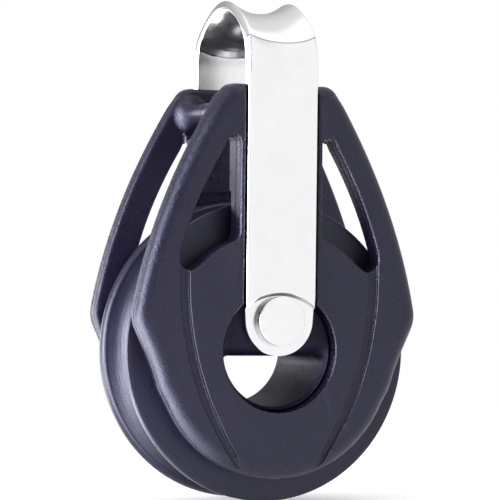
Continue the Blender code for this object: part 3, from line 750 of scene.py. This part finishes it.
def look_at(obj, target, roll=0.0):
    direction = Vector(target) - obj.location
    obj.rotation_mode = "QUATERNION"
    turn = Matrix.Rotation(roll, 4, "Z").to_quaternion()
    obj.rotation_quaternion = direction.to_track_quat("-Z", "Y") @ turn


def around(azimuth, elevation, distance, centre):
    a, e = math.radians(azimuth), math.radians(elevation)
    return centre + Vector((math.sin(a) * math.cos(e), -math.cos(a) * math.cos(e), math.sin(e))) * distance


def softbox(name, azimuth, elevation, distance, width, height, radiance, centre, tint=(1, 1, 1)):
    data = bpy.data.lights.new(name, "AREA")
    data.shape = "RECTANGLE"
    data.size, data.size_y = width, height
    data.energy = radiance * math.pi * width * height
    data.color = tint
    obj = bpy.data.objects.new(name, data)
    bpy.context.scene.collection.objects.link(obj)
    obj.location = around(azimuth, elevation, distance, centre)
    obj.visible_camera = False
    look_at(obj, centre)
    return obj


def build_camera():
    data = bpy.data.cameras.new("camera")
    data.sensor_width = 36.0
    data.lens = 220.1
    data.clip_start, data.clip_end = 0.05, 20.0
    cam = bpy.data.objects.new("camera", data)
    bpy.context.scene.collection.objects.link(cam)
    aim = AXLE + Vector((-0.486, 0.216, 19.006)) * MM
    cam.location = around(-23.90, -0.50, 0.58463, aim)
    look_at(cam, aim, roll=math.radians(0.689))
    bpy.context.scene.camera = cam


def build_floor():
    """Round pale floor that fades into the white surround, with a painted glow: a strip left of and behind
    the block glows brightly and lights its lower-left edges.
    """
    bm = bmesh.new()
    bmesh.ops.create_grid(bm, x_segments=8, y_segments=8, size=2.4)
    mesh = bpy.data.meshes.new("floor")
    bm.to_mesh(mesh)
    bm.free()
    floor = new_object("floor", mesh)
    floor.location = (0, 0, cad_low.z - 0.0004)
    n = Nodes("floor_paper_and_glow")
    length = n.add("ShaderNodeVectorMath", operation="LENGTH")
    n.link(n.coord.outputs["Object"], length.inputs[0])
    tone = n.noise(n.mapped((1.0, 1.0, 1.0)), 60.0, 3.0, 0.5)
    paper = n.mix(n.ramp(tone, 0.3, 0.7, 0.0, 1.0), (0.90, 0.90, 0.90), (0.93, 0.93, 0.93))
    n.link(paper, n.shader.inputs["Base Color"])
    n.shader.inputs["Roughness"].default_value = 0.9
    n.shader.inputs["Specular IOR Level"].default_value = 0.1
    n.shader.inputs["Emission Color"].default_value = (1.0, 1.0, 1.0, 1.0)
    axes = n.add("ShaderNodeSeparateXYZ")
    n.link(n.coord.outputs["Object"], axes.inputs["Vector"])
    # painted light: strong emission on the floor to the left of and behind the block, glowing like a hidden
    # lamp
    left = n.ramp(axes.outputs["X"], -0.012, -0.10, 0.0, 26.0)
    rear_end = n.ramp(axes.outputs["Y"], 0.004, -0.012, 0.0, 1.0)
    front_end = n.ramp(axes.outputs["Y"], -0.030, -0.055, 1.0, 0.0)
    glow_band = n.math("MULTIPLY", rear_end, front_end)
    near_behind = n.ramp(axes.outputs["Y"], 0.015, 0.03, 0.0, 0.5)
    far_behind = n.ramp(axes.outputs["Y"], 0.06, 0.09, 1.0, 0.0)
    glow_band = n.math("ADD", glow_band, n.math("MULTIPLY", near_behind, far_behind))
    reach = n.ramp(length.outputs["Value"], 0.12, 0.4, 1.0, 0.0)
    glow = n.math("MULTIPLY", n.math("MULTIPLY", left, glow_band), reach)
    n.link(n.math("ADD", glow, 0.22), n.shader.inputs["Emission Strength"])
    clear = n.add("ShaderNodeBsdfTransparent")
    fade = n.add("ShaderNodeMixShader")
    n.link(n.ramp(length.outputs["Value"], 0.12, 0.5, 0.0, 1.0), fade.inputs["Fac"])
    n.link(n.shader.outputs["BSDF"], fade.inputs[1])
    n.link(clear.outputs["BSDF"], fade.inputs[2])
    n.link(fade.outputs["Shader"], n.tree.nodes["Material Output"].inputs["Surface"])
    mesh.materials.append(n.mat)


def build_world():
    """White surround where it is seen; as a light it is dim behind and where the photographer stands."""
    world = bpy.data.worlds.new("studio")
    bpy.context.scene.world = world
    world.use_nodes = True
    tree = world.node_tree
    plain = tree.nodes["Background"]
    coord = tree.nodes.new("ShaderNodeTexCoord")
    facing = tree.nodes.new("ShaderNodeVectorMath")
    facing.operation = "DOT_PRODUCT"
    facing.inputs[1].default_value = (-0.05, 0.99, -0.10)
    tree.links.new(coord.outputs["Generated"], facing.inputs[0])
    fall = tree.nodes.new("ShaderNodeMapRange")
    for key, value in (("From Min", 0.45), ("From Max", 0.90), ("To Min", 0.88), ("To Max", 0.38)):
        fall.inputs[key].default_value = value
    tree.links.new(facing.outputs["Value"], fall.inputs["Value"])
    plain.inputs["Color"].default_value = (0.98, 0.98, 1.0, 1.0)
    near = tree.nodes.new("ShaderNodeVectorMath")
    near.operation = "DOT_PRODUCT"
    near.inputs[1].default_value = (-0.274, -0.956, 0.105)
    tree.links.new(coord.outputs["Generated"], near.inputs[0])
    shade = tree.nodes.new("ShaderNodeMapRange")
    for key, value in (("From Min", 0.83), ("From Max", 0.96), ("To Min", 1.0), ("To Max", 0.10)):
        shade.inputs[key].default_value = value
    tree.links.new(near.outputs["Value"], shade.inputs["Value"])
    power = tree.nodes.new("ShaderNodeMath")
    power.operation = "MULTIPLY"
    tree.links.new(fall.outputs["Result"], power.inputs[0])
    tree.links.new(shade.outputs["Result"], power.inputs[1])
    tree.links.new(power.outputs["Value"], plain.inputs["Strength"])
    seen = tree.nodes.new("ShaderNodeBackground")
    seen.inputs["Color"].default_value = (1.0, 1.0, 1.0, 1.0)
    seen.inputs["Strength"].default_value = 1.0
    path = tree.nodes.new("ShaderNodeLightPath")
    mix = tree.nodes.new("ShaderNodeMixShader")
    tree.links.new(path.outputs["Is Camera Ray"], mix.inputs["Fac"])
    tree.links.new(plain.outputs["Background"], mix.inputs[1])
    tree.links.new(seen.outputs["Background"], mix.inputs[2])
    tree.links.new(mix.outputs["Shader"], tree.nodes["World Output"].inputs["Surface"])


def build_lights():
    centre = (cad_low + cad_high) / 2
    softbox("key_right", 28, 20, 0.95, 1.0, 0.9, 0.28, centre)
    softbox("top", 0, 76, 0.9, 1.4, 1.3, 0.45, centre)
    softbox("left", -78, -8, 0.8, 0.36, 0.9, 31.0, centre, (0.92, 0.945, 1.0))
    softbox("back_left", -145, 0, 0.9, 0.5, 0.3, 9.0, centre, (0.95, 0.96, 1.0))


bpy.context.scene.view_settings.view_transform = "Standard"
build_block()
build_world()
build_lights()
build_floor()
build_camera()
